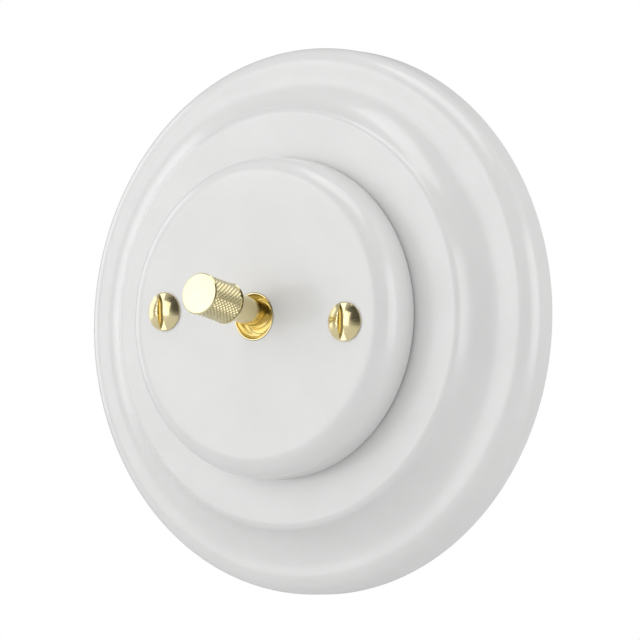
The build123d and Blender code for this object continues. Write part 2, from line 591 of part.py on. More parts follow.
def earth_terminal():
    """Block riveted behind the mounting plate, with a wire hole from the back."""
    body = block(TERMINAL_WIDTH, TERMINAL_DEPTH, -EARTH_HEIGHT, 0, 0, -EARTH_OFFSET)
    for x in (-EARTH_RIVET_OFFSET, EARTH_RIVET_OFFSET):
        body += rod(EARTH_RIVET_RADIUS, 0, PLATE_THICKNESS, x, -EARTH_OFFSET)
    body -= rod(WIRE_RADIUS, -EARTH_HEIGHT, WIRE_DEPTH - EARTH_HEIGHT, 0, -EARTH_OFFSET)
    outer = TERMINAL_WIDTH / 2 + CUT
    return body - cross_rod(CLAMP_RADIUS + RUNNING_GAP, 0, outer, -EARTH_OFFSET,
                            CLAMP_FROM_BACK - EARTH_HEIGHT)


def earth_screw():
    """Clamp screw of the earth terminal, backed out of the wire hole."""
    head = TERMINAL_WIDTH / 2 + CLAMP_STAND_OFF
    length = head - WIRE_RADIUS - RUNNING_GAP
    screw = dome_screw(CLAMP_RADIUS, length, CLAMP_HEAD_RADIUS, CLAMP_HEAD_HEIGHT,
                       CLAMP_HEAD_HEIGHT / 3, SCREW_SLOT_WIDTH / 2, CLAMP_HEAD_HEIGHT / 2)
    return Pos(head, -EARTH_OFFSET, CLAMP_FROM_BACK - EARTH_HEIGHT) * Rot(0, 90, 0) * screw


# ---- Base and cap ----
def ears(bottom, top):
    """Screw ears above and below the mechanism, without their holes."""
    return block(EAR_WIDTH, 2 * EAR_REACH, bottom, top, corner=EAR_CORNER)


def ear_holes(bottom, top):
    """The screw holes of both ears."""
    holes = Part()
    for y in (-EAR_SCREW_OFFSET, EAR_SCREW_OFFSET):
        holes += rod(EAR_SCREW_RADIUS + FIT_GAP, bottom - CUT, top + CUT, 0, y)
    return holes


def switch_base():
    """Steatite body: flange on the plate, pocket for the contacts, open pockets for the terminals."""
    base = block(BASE_WIDTH, BASE_DEPTH, BASE_BACK, PLATE_THICKNESS, corner=BASE_CORNER)
    base += block(BASE_FLANGE_WIDTH, BASE_FLANGE_DEPTH, PLATE_THICKNESS, FLANGE_TOP, corner=BASE_CORNER)
    base += ears(PLATE_THICKNESS, FLANGE_TOP)
    base -= block(POCKET_WIDTH, POCKET_DEPTH, POCKET_FLOOR, FLANGE_TOP + CUT, corner=POCKET_CORNER)
    base -= ear_holes(PLATE_THICKNESS, FLANGE_TOP)
    inner = TERMINAL_OFFSET - TERMINAL_WIDTH / 2 - FIT_GAP
    reach = BASE_WIDTH / 2 + CUT - inner
    for side, y in ((-1, 0), (1, CONTACT_OFFSET), (1, -CONTACT_OFFSET)):
        base -= block(reach, TERMINAL_DEPTH + 2 * FIT_GAP, BASE_BACK - CUT, TERMINAL_TOP,
                      side * (inner + reach / 2), y)
        base -= block(LEG_WIDTH + 2 * FIT_GAP, LEG_THICKNESS + 2 * FIT_GAP, TERMINAL_TOP, POCKET_FLOOR,
                      side * TERMINAL_OFFSET, y)
    return base


def mechanism_cap():
    """Box-shaped cap over the contacts that carries the toggle bush."""
    cap = block(BASE_FLANGE_WIDTH, BASE_FLANGE_DEPTH, FLANGE_TOP, CAP_TOP, corner=BASE_CORNER)
    cap += ears(FLANGE_TOP, FLANGE_TOP + EAR_THICKNESS)
    cap -= block(BASE_FLANGE_WIDTH - 2 * CAP_WALL, BASE_FLANGE_DEPTH - 2 * CAP_WALL,
                 FLANGE_TOP - CUT, CAP_INNER_TOP)
    cap -= rod(BUSH_RADIUS + FIT_GAP, CAP_INNER_TOP - CUT, CAP_TOP + CUT)
    return cap - ear_holes(FLANGE_TOP, FLANGE_TOP + EAR_THICKNESS)


def mechanism_screws():
    """Two screws through cap, base and plate."""
    seat = FLANGE_TOP + EAR_THICKNESS
    length = seat + EAR_NUT_THICKNESS
    return Compound([Pos(0, y, seat) * dome_screw(EAR_SCREW_RADIUS, length, EAR_SCREW_HEAD_RADIUS,
                                                 EAR_SCREW_HEAD_HEIGHT, EAR_SCREW_HEAD_HEIGHT / 3,
                                                 EAR_SCREW_SLOT, EAR_SCREW_HEAD_HEIGHT / 2)
                     for y in (-EAR_SCREW_OFFSET, EAR_SCREW_OFFSET)])


def mechanism_nuts():
    """Nuts of the mechanism screws, behind the plate."""
    return Compound([hexagon(EAR_NUT_FLATS, -EAR_NUT_THICKNESS, 0, 0, y)
                     - rod(EAR_SCREW_RADIUS + RUNNING_GAP, -EAR_NUT_THICKNESS - CUT, CUT, 0, y)
                     for y in (-EAR_SCREW_OFFSET, EAR_SCREW_OFFSET)])


PIECES = {
    "porcelain_frame": porcelain_frame,
    "porcelain_cover": porcelain_cover,
    "cover_screws": cover_screws,
    "cover_washers": cover_washers,
    "cover_pillars": cover_pillars,
    "mounting_plate": mounting_plate,
    "toggle_bush": toggle_bush,
    "lock_washer": lock_washer,
    "bush_nut": bush_nut,
    "pivot_pin": pivot_pin,
    "lever_shaft": lever_shaft,
    "knob": knob,
    "plunger": plunger,
    "plunger_spring": plunger_spring,
    "contact_rocker": contact_rocker,
    "rocker_saddle": rocker_saddle,
    "contact_bridge": contact_bridge,
    "rocker_pin": rocker_pin,
    "fixed_contacts": fixed_contacts,
    "common_terminal": common_terminal,
    "upper_line_terminal": lambda: line_terminal(1),
    "lower_line_terminal": lambda: line_terminal(-1),
    "terminal_screws": terminal_screws,
    "earth_terminal": earth_terminal,
    "earth_screw": earth_screw,
    "switch_base": switch_base,
    "mechanism_cap": mechanism_cap,
    "mechanism_screws": mechanism_screws,
    "mechanism_nuts": mechanism_nuts,
}

os.makedirs("parts", exist_ok=True)
for name, make in PIECES.items():
    export_step(placed(make()), f"parts/{name}.step")
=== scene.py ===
import json
from math import acos, asin, atan2, cos, degrees, hypot, inf, pi, radians, sin, sqrt

import bmesh
import bpy
from mathutils import Matrix, Vector

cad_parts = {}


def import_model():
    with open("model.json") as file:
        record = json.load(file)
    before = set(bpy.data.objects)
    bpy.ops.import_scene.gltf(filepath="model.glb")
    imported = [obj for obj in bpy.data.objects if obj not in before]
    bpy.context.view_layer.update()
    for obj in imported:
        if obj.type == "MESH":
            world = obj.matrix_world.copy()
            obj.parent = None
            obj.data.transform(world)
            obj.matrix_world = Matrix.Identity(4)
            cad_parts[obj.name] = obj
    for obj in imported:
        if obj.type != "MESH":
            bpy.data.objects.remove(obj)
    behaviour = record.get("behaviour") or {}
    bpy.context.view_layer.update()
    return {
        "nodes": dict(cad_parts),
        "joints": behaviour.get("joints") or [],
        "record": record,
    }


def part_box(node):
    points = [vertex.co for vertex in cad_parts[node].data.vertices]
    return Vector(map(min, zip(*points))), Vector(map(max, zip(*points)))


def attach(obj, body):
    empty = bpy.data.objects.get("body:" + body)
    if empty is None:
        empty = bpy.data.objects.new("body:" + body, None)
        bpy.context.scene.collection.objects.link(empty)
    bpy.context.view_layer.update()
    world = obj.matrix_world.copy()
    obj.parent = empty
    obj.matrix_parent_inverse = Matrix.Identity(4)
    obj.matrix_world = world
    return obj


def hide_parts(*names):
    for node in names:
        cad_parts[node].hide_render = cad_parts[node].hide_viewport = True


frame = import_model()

MM = 0.001

# ---- Camera, in millimetres and degrees ----
CAMERA_AZIMUTH = 35.8
CAMERA_ELEVATION = -0.47
CAMERA_ROLL = 3.5
CAMERA_DISTANCE = 900.0
CAMERA_LENS = 275.8
CAMERA_RIGHT = -0.81     # shift across the view
CAMERA_UP = 0.32
CAMERA_CLIP = (0.01, 20)  # metres

# ---- Smoothness of turned pieces ----
PORCELAIN_STEPS = 256
BRASS_STEPS = 96
ARC_STEP = 6.0           # degrees between the points of an outline's arc
SHARP_ANGLE = 32.0       # edges sharper than this stay crisp
MERGE = 1e-6             # metres, under which two points are one


# ---- Sizes read from the frame, in millimetres ----
def extent(node):
    """A node's reach to the right and its lowest and highest heights in front of the wall."""
    low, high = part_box(node)
    return high.x / MM, -high.y / MM, -low.y / MM


FRAME_RADIUS, _, PLATEAU_HEIGHT = extent("porcelain_frame")
COVER_RADIUS, SKIRT_END, COVER_HEIGHT = extent("porcelain_cover")
BUSH_FLANGE_RADIUS, BUSH_BOTTOM, BUSH_TOP = extent("toggle_bush")
KNOB_RADIUS = extent("knob")[0]
SCREW_HEAD_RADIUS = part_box("cover_screws")[1].z / MM
SCREW_OFFSET = extent("cover_screws")[0] - SCREW_HEAD_RADIUS
SCREW_TOP = extent("cover_screws")[2]
SCREW_LENGTH = COVER_HEIGHT - extent("cover_screws")[1]
THROW = next(joint for joint in frame["joints"] if joint["name"] == "lever_throw")
LEVER_TILT = THROW["range_deg"][1] / 2
PIVOT = Vector(THROW["pos_m"])
PIVOT_HEIGHT = -PIVOT.y / MM

# ---- Porcelain outlines ----
RIM_WALL = 3.6
RIM_ROUNDING = 3.7
COVE_RADIUS = 8.0
CREST_ROUNDING = 1.6
CREST_RADIUS = 37.0
PLATEAU_THICKNESS = 4.5
FRAME_BORE_RADIUS = 26.7
FOOT_RADIUS = 44.5
FOOT_TOP = 2.4
HOLLOW_RADIUS = 36.0
COVER_ROUNDING = 4.0
COVER_LOWER_EDGE = 0.3
COVER_REVEAL = 0.3       # shadow gap under the cover's edge
COVER_REBATE = 1.3       # and how far it goes in
COVER_LAND_RADIUS = 26.3
SKIRT_INNER_RADIUS = 24.1
COVER_THICKNESS = 4.5
BUSH_HOLE_RADIUS = 4.34
BOSS_RADIUS = 4.0
BOSS_DEPTH = 2.2
BOSS_BORE_RADIUS = 1.85
SOFT_EDGE = 0.25
HOLE_EDGE = 0.04

# ---- Toggle outlines ----
NECK_RADIUS = 2.5
BALL_RADIUS = 3.5
KNOB_START = 12.0        # from the pivot
KNOB_LENGTH = 8.7
KNOB_CHAMFER = 0.15
STUD_RADIUS = 1.5
STUD_LENGTH = 5.5
TAIL_RADIUS = 2.0
TAIL_BORE_RADIUS = 1.3
TAIL_BORE_START = 1.9
TAIL_LENGTH = 11.5
BUSH_RADIUS = 4.3
BUSH_BORE_RADIUS = 3.55
BUSH_SEAT_RADIUS = 3.05
BUSH_LIP_WIDTH = 0.25
BUSH_LIP_ROUNDING = 0.08
BUSH_BOWL_SAG = 0.27
BUSH_FLANGE_BOTTOM = 14.6
BUSH_FLANGE_TOP = 15.8

# ---- Knurl ----
KNURL_COLUMNS = 62
KNURL_ROWS = 16
KNURL_DEPTH = 0.18
KNURL_FLAT = 0.12        # bevel on each peak
KNURL_END_BAND = 0.22    # plain ring between the knurl and the chamfer
KNURL_SKIN = 1.5         # only points further out than this many stud radii are cut

# ---- Cover screws ----
SCREW_RADIUS = 1.75
SCREW_HEAD_EDGE = 0.35
SLOT_WIDTH = 1.25
SLOT_DEPTH = 1.1
SLOT_EDGE = 0.09
SCREW_TURNS = (6.5, 3.6)


# ---- Outlines and turned meshes ----
def place(radius, height):
    """A point of an outline: distance from the Y axis and height in front of the wall, in mm."""
    return Vector((radius, -height, 0)) * MM


def outline(start, moves):
    """A chain of edges from (r, h) lines and (r, h, sweep) arcs about a centre.
    A positive sweep turns from the radius towards the room, in degrees."""
    bm = bmesh.new()
    tip = bm.verts.new(place(*start))
    for move in moves:
        if len(move) == 3:
            steps = max(2, round(abs(move[2]) / ARC_STEP))
            made = bmesh.ops.spin(bm, geom=[tip], cent=place(*move[:2]), axis=(0, 0, 1), dvec=(0, 0, 0),
                                  angle=-radians(move[2]), steps=steps, use_merge=False)
            tip = made["geom_last"][0]
        else:
            tip = bmesh.ops.extrude_vert_indiv(bm, verts=[tip])["verts"][0]
            tip.co = place(*move)
    return bm


def bowed(start, end, sag):
    """The arc from start to end that bulges to its right by sag, as a centre and a sweep."""
    start, end = Vector(start), Vector(end)
    chord = end - start
    radius = (chord.length ** 2 / 4 + sag ** 2) / (2 * sag)
    outwards = Vector((chord.y, -chord.x)).normalized()
    centre = (start + end) / 2 - outwards * (radius - sag)
    return (*centre, 2 * degrees(asin(chord.length / 2 / radius)))


def turn(bm, steps):
    """Turns an outline about the Y axis into a closed mesh whose faces point outwards."""
    bmesh.ops.remove_doubles(bm, verts=bm.verts, dist=MERGE / 10)
    bmesh.ops.spin(bm, geom=bm.verts[:] + bm.edges[:], cent=(0, 0, 0), axis=(0, 1, 0),
                   dvec=(0, 0, 0), angle=2 * pi, steps=steps, use_merge=True)
    bmesh.ops.remove_doubles(bm, verts=bm.verts, dist=MERGE)
    bmesh.ops.recalc_face_normals(bm, faces=bm.faces)
    return bm


def mesh_of(bm, name):
    """Stores a finished mesh, smooth but for its sharp edges."""
    for face in bm.faces:
        face.smooth = True
    for edge in bm.edges:
        edge.smooth = edge.calc_face_angle(0) < radians(SHARP_ANGLE)
    mesh = bpy.data.meshes.new(name)
    bm.to_mesh(mesh)
    bm.free()
    return mesh


def piece(name, bm, material, body, replaced):
    """Makes the finished object, riding on its body."""
    mesh = mesh_of(bm, name)
    mesh.materials.append(material)
    made = bpy.data.objects.new(name, mesh)
    bpy.context.scene.collection.objects.link(made)
    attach(made, body)
    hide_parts(*replaced)
    return made


# ---- Porcelain pieces ----
def frame_outline():
    """Rounded rim, hollow cove, rounded crest and flat plateau, hollow at the back."""
    ridge = RIM_WALL + RIM_ROUNDING
    reach = COVE_RADIUS + CREST_ROUNDING
    drop = ridge + COVE_RADIUS - PLATEAU_HEIGHT + CREST_ROUNDING
    lean = degrees(acos(drop / reach))
    cove_end = CREST_RADIUS + reach * sin(radians(lean))
    inner_top = PLATEAU_HEIGHT - PLATEAU_THICKNESS
    return outline((FRAME_RADIUS, SOFT_EDGE), [
        (FRAME_RADIUS, RIM_WALL),
        (FRAME_RADIUS - RIM_ROUNDING, RIM_WALL, 90),
        (cove_end, ridge),
        (cove_end, ridge + COVE_RADIUS, -lean),
        (CREST_RADIUS, PLATEAU_HEIGHT - CREST_ROUNDING, lean),
        (FRAME_BORE_RADIUS + SOFT_EDGE, PLATEAU_HEIGHT),
        (FRAME_BORE_RADIUS, PLATEAU_HEIGHT - SOFT_EDGE),
        (FRAME_BORE_RADIUS, inner_top),
        (HOLLOW_RADIUS, inner_top),
        (HOLLOW_RADIUS, FOOT_TOP),
        (FOOT_RADIUS, FOOT_TOP),
        (FOOT_RADIUS, 0),
        (FRAME_RADIUS - SOFT_EDGE, 0),
        (FRAME_RADIUS, SOFT_EDGE),
    ])


def cover_outline():
    """Rounded cap with a land on the plateau and a sleeve into the frame's bore."""
    inner_height = COVER_HEIGHT - COVER_THICKNESS
    reveal = PLATEAU_HEIGHT + COVER_REVEAL
    rebate = COVER_RADIUS - COVER_REBATE
    return outline((rebate, PLATEAU_HEIGHT), [
        (rebate, reveal),
        (COVER_RADIUS - COVER_LOWER_EDGE, reveal),
        (COVER_RADIUS - COVER_LOWER_EDGE, reveal + COVER_LOWER_EDGE, 90),
        (COVER_RADIUS, COVER_HEIGHT - COVER_ROUNDING),
        (COVER_RADIUS - COVER_ROUNDING, COVER_HEIGHT - COVER_ROUNDING, 90),
        (BUSH_HOLE_RADIUS + HOLE_EDGE, COVER_HEIGHT),
        (BUSH_HOLE_RADIUS, COVER_HEIGHT - HOLE_EDGE),
        (BUSH_HOLE_RADIUS, inner_height),
        (SKIRT_INNER_RADIUS, inner_height),
        (SKIRT_INNER_RADIUS, SKIRT_END),
        (COVER_LAND_RADIUS, SKIRT_END),
        (COVER_LAND_RADIUS, PLATEAU_HEIGHT),
        (rebate, PLATEAU_HEIGHT),
    ])


def cover_mesh():
    """The turned cap with a round boss behind each cover screw."""
    cover = turn(cover_outline(), PORCELAIN_STEPS)
    top = COVER_HEIGHT - COVER_THICKNESS
    bottom = top - BOSS_DEPTH
    for side in (-1, 1):
        boss = turn(outline((BOSS_BORE_RADIUS, bottom), [
            (BOSS_RADIUS - SOFT_EDGE, bottom),
            (BOSS_RADIUS, bottom + SOFT_EDGE),
            (BOSS_RADIUS, top + SOFT_EDGE),
            (BOSS_BORE_RADIUS, top + SOFT_EDGE),
            (BOSS_BORE_RADIUS, bottom),
        ]), BRASS_STEPS)
        add_moved(cover, boss, Matrix.Translation((side * SCREW_OFFSET * MM, 0, 0)))
    return cover


def add_moved(bm, part, motion):
    """Adds a moved copy of part to bm and frees part."""
    bmesh.ops.transform(part, matrix=motion, verts=part.verts)
    mesh = bpy.data.meshes.new("part")
    part.to_mesh(mesh)
    part.free()
    bm.from_mesh(mesh)
    bpy.data.meshes.remove(mesh)


# ---- Brass pieces ----
def on_lever(bm):
    """Sets a mesh turned about the lever's line, pivot at 0, into the lever's resting place."""
    motion = Matrix.Translation(PIVOT) @ Matrix.Rotation(-radians(LEVER_TILT), 4, "X")
    bmesh.ops.transform(bm, matrix=motion, verts=bm.verts)
    return bm


def bush_outline():
    """Thin rounded lip, bowl-shaped mouth, ball seat, bore, threaded sleeve and flange."""
    mouth = BUSH_RADIUS - BUSH_LIP_WIDTH
    seat_height = PIVOT_HEIGHT + sqrt(BUSH_BORE_RADIUS ** 2 - BUSH_SEAT_RADIUS ** 2)
    seat_sweep = degrees(acos(BUSH_SEAT_RADIUS / BUSH_BORE_RADIUS))
    seat = (BUSH_SEAT_RADIUS, seat_height)
    lip = BUSH_TOP - BUSH_LIP_ROUNDING
    return outline((BUSH_BORE_RADIUS, PIVOT_HEIGHT), [
        (0, PIVOT_HEIGHT, seat_sweep),
        bowed(seat, (mouth, COVER_HEIGHT), BUSH_BOWL_SAG),
        (mouth, lip),
        (mouth + BUSH_LIP_ROUNDING, lip, -90),
        (BUSH_RADIUS - BUSH_LIP_ROUNDING, BUSH_TOP),
        (BUSH_RADIUS - BUSH_LIP_ROUNDING, lip, -90),
        (BUSH_RADIUS, BUSH_FLANGE_TOP),
        (BUSH_FLANGE_RADIUS, BUSH_FLANGE_TOP),
        (BUSH_FLANGE_RADIUS, BUSH_FLANGE_BOTTOM),
        (BUSH_RADIUS, BUSH_FLANGE_BOTTOM),
        (BUSH_RADIUS, BUSH_BOTTOM),
        (BUSH_BORE_RADIUS, BUSH_BOTTOM),
        (BUSH_BORE_RADIUS, PIVOT_HEIGHT),
    ])


def lever_outline():
    """Bored tail, ball, smooth neck and the stud inside the knob."""
    low = degrees(acos(TAIL_RADIUS / BALL_RADIUS))
    high = degrees(acos(NECK_RADIUS / BALL_RADIUS))
    stud_end = KNOB_START + STUD_LENGTH
    return outline((0, -TAIL_BORE_START), [
        (TAIL_BORE_RADIUS, -TAIL_BORE_START),
        (TAIL_BORE_RADIUS, -TAIL_LENGTH),
        (TAIL_RADIUS, -TAIL_LENGTH),
        (TAIL_RADIUS, -BALL_RADIUS * sin(radians(low))),
        (0, 0, low + high),
        (NECK_RADIUS, KNOB_START),
        (STUD_RADIUS, KNOB_START),
        (STUD_RADIUS, stud_end),
        (0, stud_end),
    ])


def knob_mesh():
    """Barrel with a diamond knurl, a plain ring at each end, a chamfer and a flat polished end."""
    first = KNOB_START + KNOB_CHAMFER + KNURL_END_BAND
    last = KNOB_START + KNOB_LENGTH - KNOB_CHAMFER - KNURL_END_BAND
    pitch = (last - first) / KNURL_ROWS
    root = KNOB_RADIUS - KNURL_DEPTH
    top = KNOB_START + KNOB_LENGTH
    hole = KNOB_START + STUD_LENGTH
    barrel = turn(outline((0, hole), [
        (STUD_RADIUS, hole),
        (STUD_RADIUS, KNOB_START),
        (KNOB_RADIUS - KNOB_CHAMFER, KNOB_START),
        (KNOB_RADIUS, KNOB_START + KNOB_CHAMFER),
        (KNOB_RADIUS, first - KNURL_END_BAND / 2),
        *((root, first + row * pitch) for row in range(KNURL_ROWS + 1)),
        (KNOB_RADIUS, last + KNURL_END_BAND / 2),
        (KNOB_RADIUS, top - KNOB_CHAMFER),
        (KNOB_RADIUS - KNOB_CHAMFER, top),
        (0, top),
    ]), KNURL_COLUMNS)
    peaks = []
    for vert in barrel.verts:
        row = (-vert.co.y / MM - first) / pitch
        column = round(atan2(vert.co.z, vert.co.x) * KNURL_COLUMNS / (2 * pi))
        outside = hypot(vert.co.x, vert.co.z) > STUD_RADIUS * KNURL_SKIN * MM
        if outside and 0.5 < row < KNURL_ROWS - 0.5 and (round(row) + column) % 2 == 0:
            peaks.append(vert)
    for peak in peaks:
        peak.co.x *= KNOB_RADIUS / root
        peak.co.z *= KNOB_RADIUS / root
        for face in list(peak.link_faces):
            if len(face.verts) == 4:
                corner = next(loop for loop in face.loops if loop.vert == peak)
                bmesh.utils.face_split(face, corner.link_loop_prev.vert, corner.link_loop_next.vert)
    bmesh.ops.bevel(barrel, geom=peaks, offset=KNURL_FLAT * MM, offset_type="OFFSET", segments=1,
                    profile=0.5, affect="VERTICES", material=-1)
    return barrel


def screw_mesh():
    """One slotted dome-head screw, turned about the Y axis, with its head on the cover."""
    rise = SCREW_TOP - COVER_HEIGHT - SCREW_HEAD_EDGE
    ball = (SCREW_HEAD_RADIUS ** 2 + rise ** 2) / (2 * rise)
    sweep = degrees(asin(SCREW_HEAD_RADIUS / ball))
    tip = COVER_HEIGHT - SCREW_LENGTH
    edge = SCREW_HEAD_RADIUS - SOFT_EDGE / 2
    screw = turn(outline((0, tip), [
        (SCREW_RADIUS - SOFT_EDGE, tip),
        (SCREW_RADIUS, tip + SOFT_EDGE),
        (SCREW_RADIUS, COVER_HEIGHT),
        (edge, COVER_HEIGHT),
        (SCREW_HEAD_RADIUS, COVER_HEIGHT + SOFT_EDGE / 2),
        (SCREW_HEAD_RADIUS, COVER_HEIGHT + SCREW_HEAD_EDGE),
        (0, SCREW_TOP - ball, sweep),
    ]), BRASS_STEPS)
    cut_slot(screw, SLOT_WIDTH / 2 * MM, -(SCREW_TOP - SLOT_DEPTH) * MM)
    return screw


def faces_within(bm, depth, half_width=inf):
    """The faces whose middles lie on the room's side of y = depth, within half_width of the YZ plane."""
    middles = ((face, face.calc_center_median()) for face in bm.faces)
    return [face for face, middle in middles if middle.y < depth and abs(middle.x) < half_width]


def bisect(bm, faces, point, normal):
    """Cuts these faces along a plane."""
    geom = faces + [e for face in faces for e in face.edges] + [v for face in faces for v in face.verts]
    bmesh.ops.bisect_plane(bm, geom=list(dict.fromkeys(geom)), plane_co=point, plane_no=normal,
                           dist=MERGE / 10)


def cut_slot(bm, half_width, floor):
    """Cuts a slot along Z down to y = floor, with its walls, its floor and a small bevel on its edges."""
    head = floor + 2 * half_width
    for side in (-1, 1):
        bisect(bm, faces_within(bm, head), (side * half_width, 0, 0), (1, 0, 0))
    bisect(bm, faces_within(bm, head, half_width), (0, floor, 0), (0, 1, 0))
    bmesh.ops.delete(bm, geom=faces_within(bm, floor - MERGE, half_width), context="FACES")
    rims = []
    bottoms = []
    for side in (-1, 1):
        rim = [edge for edge in bm.edges if edge.is_boundary
               and all(abs(v.co.x - side * half_width) < MERGE for v in edge.verts)]
        ends = [v for edge in rim for v in edge.verts if abs(v.co.y - floor) < MERGE]
        bottom = bm.edges.new(list(dict.fromkeys(ends)))
        bmesh.ops.contextual_create(bm, geom=rim + [bottom])
        rims += rim
        bottoms.append(bottom)
    arcs = [edge for edge in bm.edges if edge.is_boundary and edge not in bottoms]
    bmesh.ops.contextual_create(bm, geom=arcs + bottoms)
    bmesh.ops.recalc_face_normals(bm, faces=bm.faces)
    bmesh.ops.bevel(bm, geom=rims, offset=SLOT_EDGE * MM, offset_type="OFFSET", segments=2,
                    profile=0.5, affect="EDGES", material=-1)


def cover_screw_pair():
    """Both cover screws, each slot turned a little its own way."""
    pair = bmesh.new()
    for side, angle in zip((-1, 1), SCREW_TURNS):
        motion = Matrix.Translation((side * SCREW_OFFSET * MM, 0, 0))
        add_moved(pair, screw_mesh(), motion @ Matrix.Rotation(radians(angle), 4, (0, -1, 0)))
    return pair


# ---- Node helpers ----
def node(tree, kind, feeds=None, **settings):
    """Adds a node with its settings, and links or sets each fed input."""
    made = tree.nodes.new(kind)
    for name, value in settings.items():
        setattr(made, name, value)
    for key, value in (feeds or {}).items():
        if isinstance(value, bpy.types.NodeSocket):
            tree.links.new(value, made.inputs[key])
        else:
            made.inputs[key].default_value = value
    return made


def group(name, inputs, outputs):
    """An empty shader group with named inputs and outputs, and its two end nodes."""
    tree = bpy.data.node_groups.new(name, "ShaderNodeTree")
    for label, kind in inputs.items():
        tree.interface.new_socket(name=label, in_out="INPUT", socket_type="NodeSocket" + kind)
    for label, kind in outputs.items():
        tree.interface.new_socket(name=label, in_out="OUTPUT", socket_type="NodeSocket" + kind)
    return tree, node(tree, "NodeGroupInput").outputs, node(tree, "NodeGroupOutput").inputs


def use(tree, effect, feeds):
    """Places an effect group in a material."""
    return node(tree, "ShaderNodeGroup", feeds, node_tree=EFFECTS[effect]).outputs


# ---- Effects shared by the finishes ----
SCRATCH_ROUGHNESS = 0.16  # added inside a scratch


def cloudy_tone():
    """Soft patches of a second tint over the first one."""
    tree, given, result = group("cloudy_tone", {
        "Vector": "Vector", "First": "Color", "Second": "Color", "Scale": "Float"}, {"Color": "Color"})
    noise = node(tree, "ShaderNodeTexNoise", {
        "Vector": given["Vector"], "Scale": given["Scale"], "Detail": 5.0, "Roughness": 0.62})
    spread = node(tree, "ShaderNodeMapRange", {
        "Value": noise.outputs["Fac"], "From Min": 0.32, "From Max": 0.68}, interpolation_type="SMOOTHSTEP")
    mix = node(tree, "ShaderNodeMix", {
        0: spread.outputs["Result"], 6: given["First"], 7: given["Second"]}, data_type="RGBA")
    tree.links.new(mix.outputs[2], result["Color"])
    return tree


def hairlines():
    """Fine handling scratches that cross each other: 0 on clean metal, 1 in a scratch."""
    tree, given, result = group("hairlines", {
        "Vector": "Vector", "Scale": "Float"}, {"Mask": "Float"})
    layers = []
    for turned in ((0.3, 0.5, 0.9), (1.1, -0.7, -0.4)):
        mapped = node(tree, "ShaderNodeMapping", {
            "Vector": given["Vector"], "Rotation": turned, "Scale": (1.0, 22.0, 9.0)})
        noise = node(tree, "ShaderNodeTexNoise", {
            "Vector": mapped.outputs["Vector"], "Scale": given["Scale"], "Detail": 2.0, "Roughness": 0.5})
        layers.append(node(tree, "ShaderNodeMapRange", {
            "Value": noise.outputs["Fac"], "From Min": 0.60, "From Max": 0.72}).outputs["Result"])
    both = node(tree, "ShaderNodeMath", {0: layers[0], 1: layers[1]}, operation="MAXIMUM")
    tree.links.new(both.outputs["Value"], result["Mask"])
    return tree


def uneven_gloss():
    """Roughness that wanders between two values and rises in a mask."""
    tree, given, result = group("uneven_gloss", {
        "Vector": "Vector", "Low": "Float", "High": "Float", "Scale": "Float", "Mask": "Float"},
        {"Roughness": "Float"})
    noise = node(tree, "ShaderNodeTexNoise", {
        "Vector": given["Vector"], "Scale": given["Scale"], "Detail": 4.0, "Roughness": 0.6})
    wandering = node(tree, "ShaderNodeMapRange", {
        "Value": noise.outputs["Fac"], "From Min": 0.3, "From Max": 0.7,
        "To Min": given["Low"], "To Max": given["High"]})
    raised = node(tree, "ShaderNodeMath", {
        0: given["Mask"], 1: SCRATCH_ROUGHNESS, 2: wandering.outputs["Result"]}, operation="MULTIPLY_ADD")
    tree.links.new(raised.outputs["Value"], result["Roughness"])
    return tree


def skin_relief():
    """Height of a fine skin: a slow waviness with a finer grain on it."""
    tree, given, result = group("skin_relief", {
        "Vector": "Vector", "Wave": "Float", "Grain": "Float", "Share": "Float"}, {"Height": "Float"})
    wave = node(tree, "ShaderNodeTexNoise", {
        "Vector": given["Vector"], "Scale": given["Wave"], "Detail": 2.0, "Roughness": 0.5})
    grain = node(tree, "ShaderNodeTexNoise", {
        "Vector": given["Vector"], "Scale": given["Grain"], "Detail": 3.0, "Roughness": 0.7})
    mix = node(tree, "ShaderNodeMix", {
        0: given["Share"], 2: wave.outputs["Fac"], 3: grain.outputs["Fac"]}, data_type="FLOAT")
    tree.links.new(mix.outputs[0], result["Height"])
    return tree


EFFECTS = {make.__name__: make() for make in (cloudy_tone, hairlines, uneven_gloss, skin_relief)}


# ---- Finishes ----
COAT_ROUGHNESS = 0.17
# painted shade colour for the bottom of the knurl's cuts
KNURL_PAINTED_SHADE = (0.50, 0.43, 0.24, 1)


def finish(name, tints, patches, gloss, scratches, relief, metallic=0.0, coat=0.0):
    """A material whose tone, gloss and fine relief change over the surface.
    Patches and scratches are patterns per metre; relief is (wave, grain, grain's share, depth in mm)."""
    material = bpy.data.materials.new(name)
    material.use_nodes = True
    tree = material.node_tree
    shader = tree.nodes["Principled BSDF"]
    shader.inputs["Metallic"].default_value = metallic
    shader.inputs["Coat Weight"].default_value = coat
    shader.inputs["Coat Roughness"].default_value = COAT_ROUGHNESS
    spot = node(tree, "ShaderNodeTexCoord").outputs["Object"]
    tone = use(tree, "cloudy_tone", {
        "Vector": spot, "First": (*tints[0], 1), "Second": (*tints[1], 1), "Scale": patches})
    lines = use(tree, "hairlines", {"Vector": spot, "Scale": scratches})
    roughness = use(tree, "uneven_gloss", {
        "Vector": spot, "Low": gloss[0], "High": gloss[1], "Scale": patches, "Mask": lines["Mask"]})
    height = use(tree, "skin_relief", {
        "Vector": spot, "Wave": relief[0], "Grain": relief[1], "Share": relief[2]})
    bump = node(tree, "ShaderNodeBump", {
        "Height": height["Height"], "Distance": relief[3] * MM, "Strength": 1.0})
    tree.links.new(tone["Color"], shader.inputs["Base Color"])
    tree.links.new(roughness["Roughness"], shader.inputs["Roughness"])
    tree.links.new(bump.outputs["Normal"], shader.inputs["Normal"])
    return material


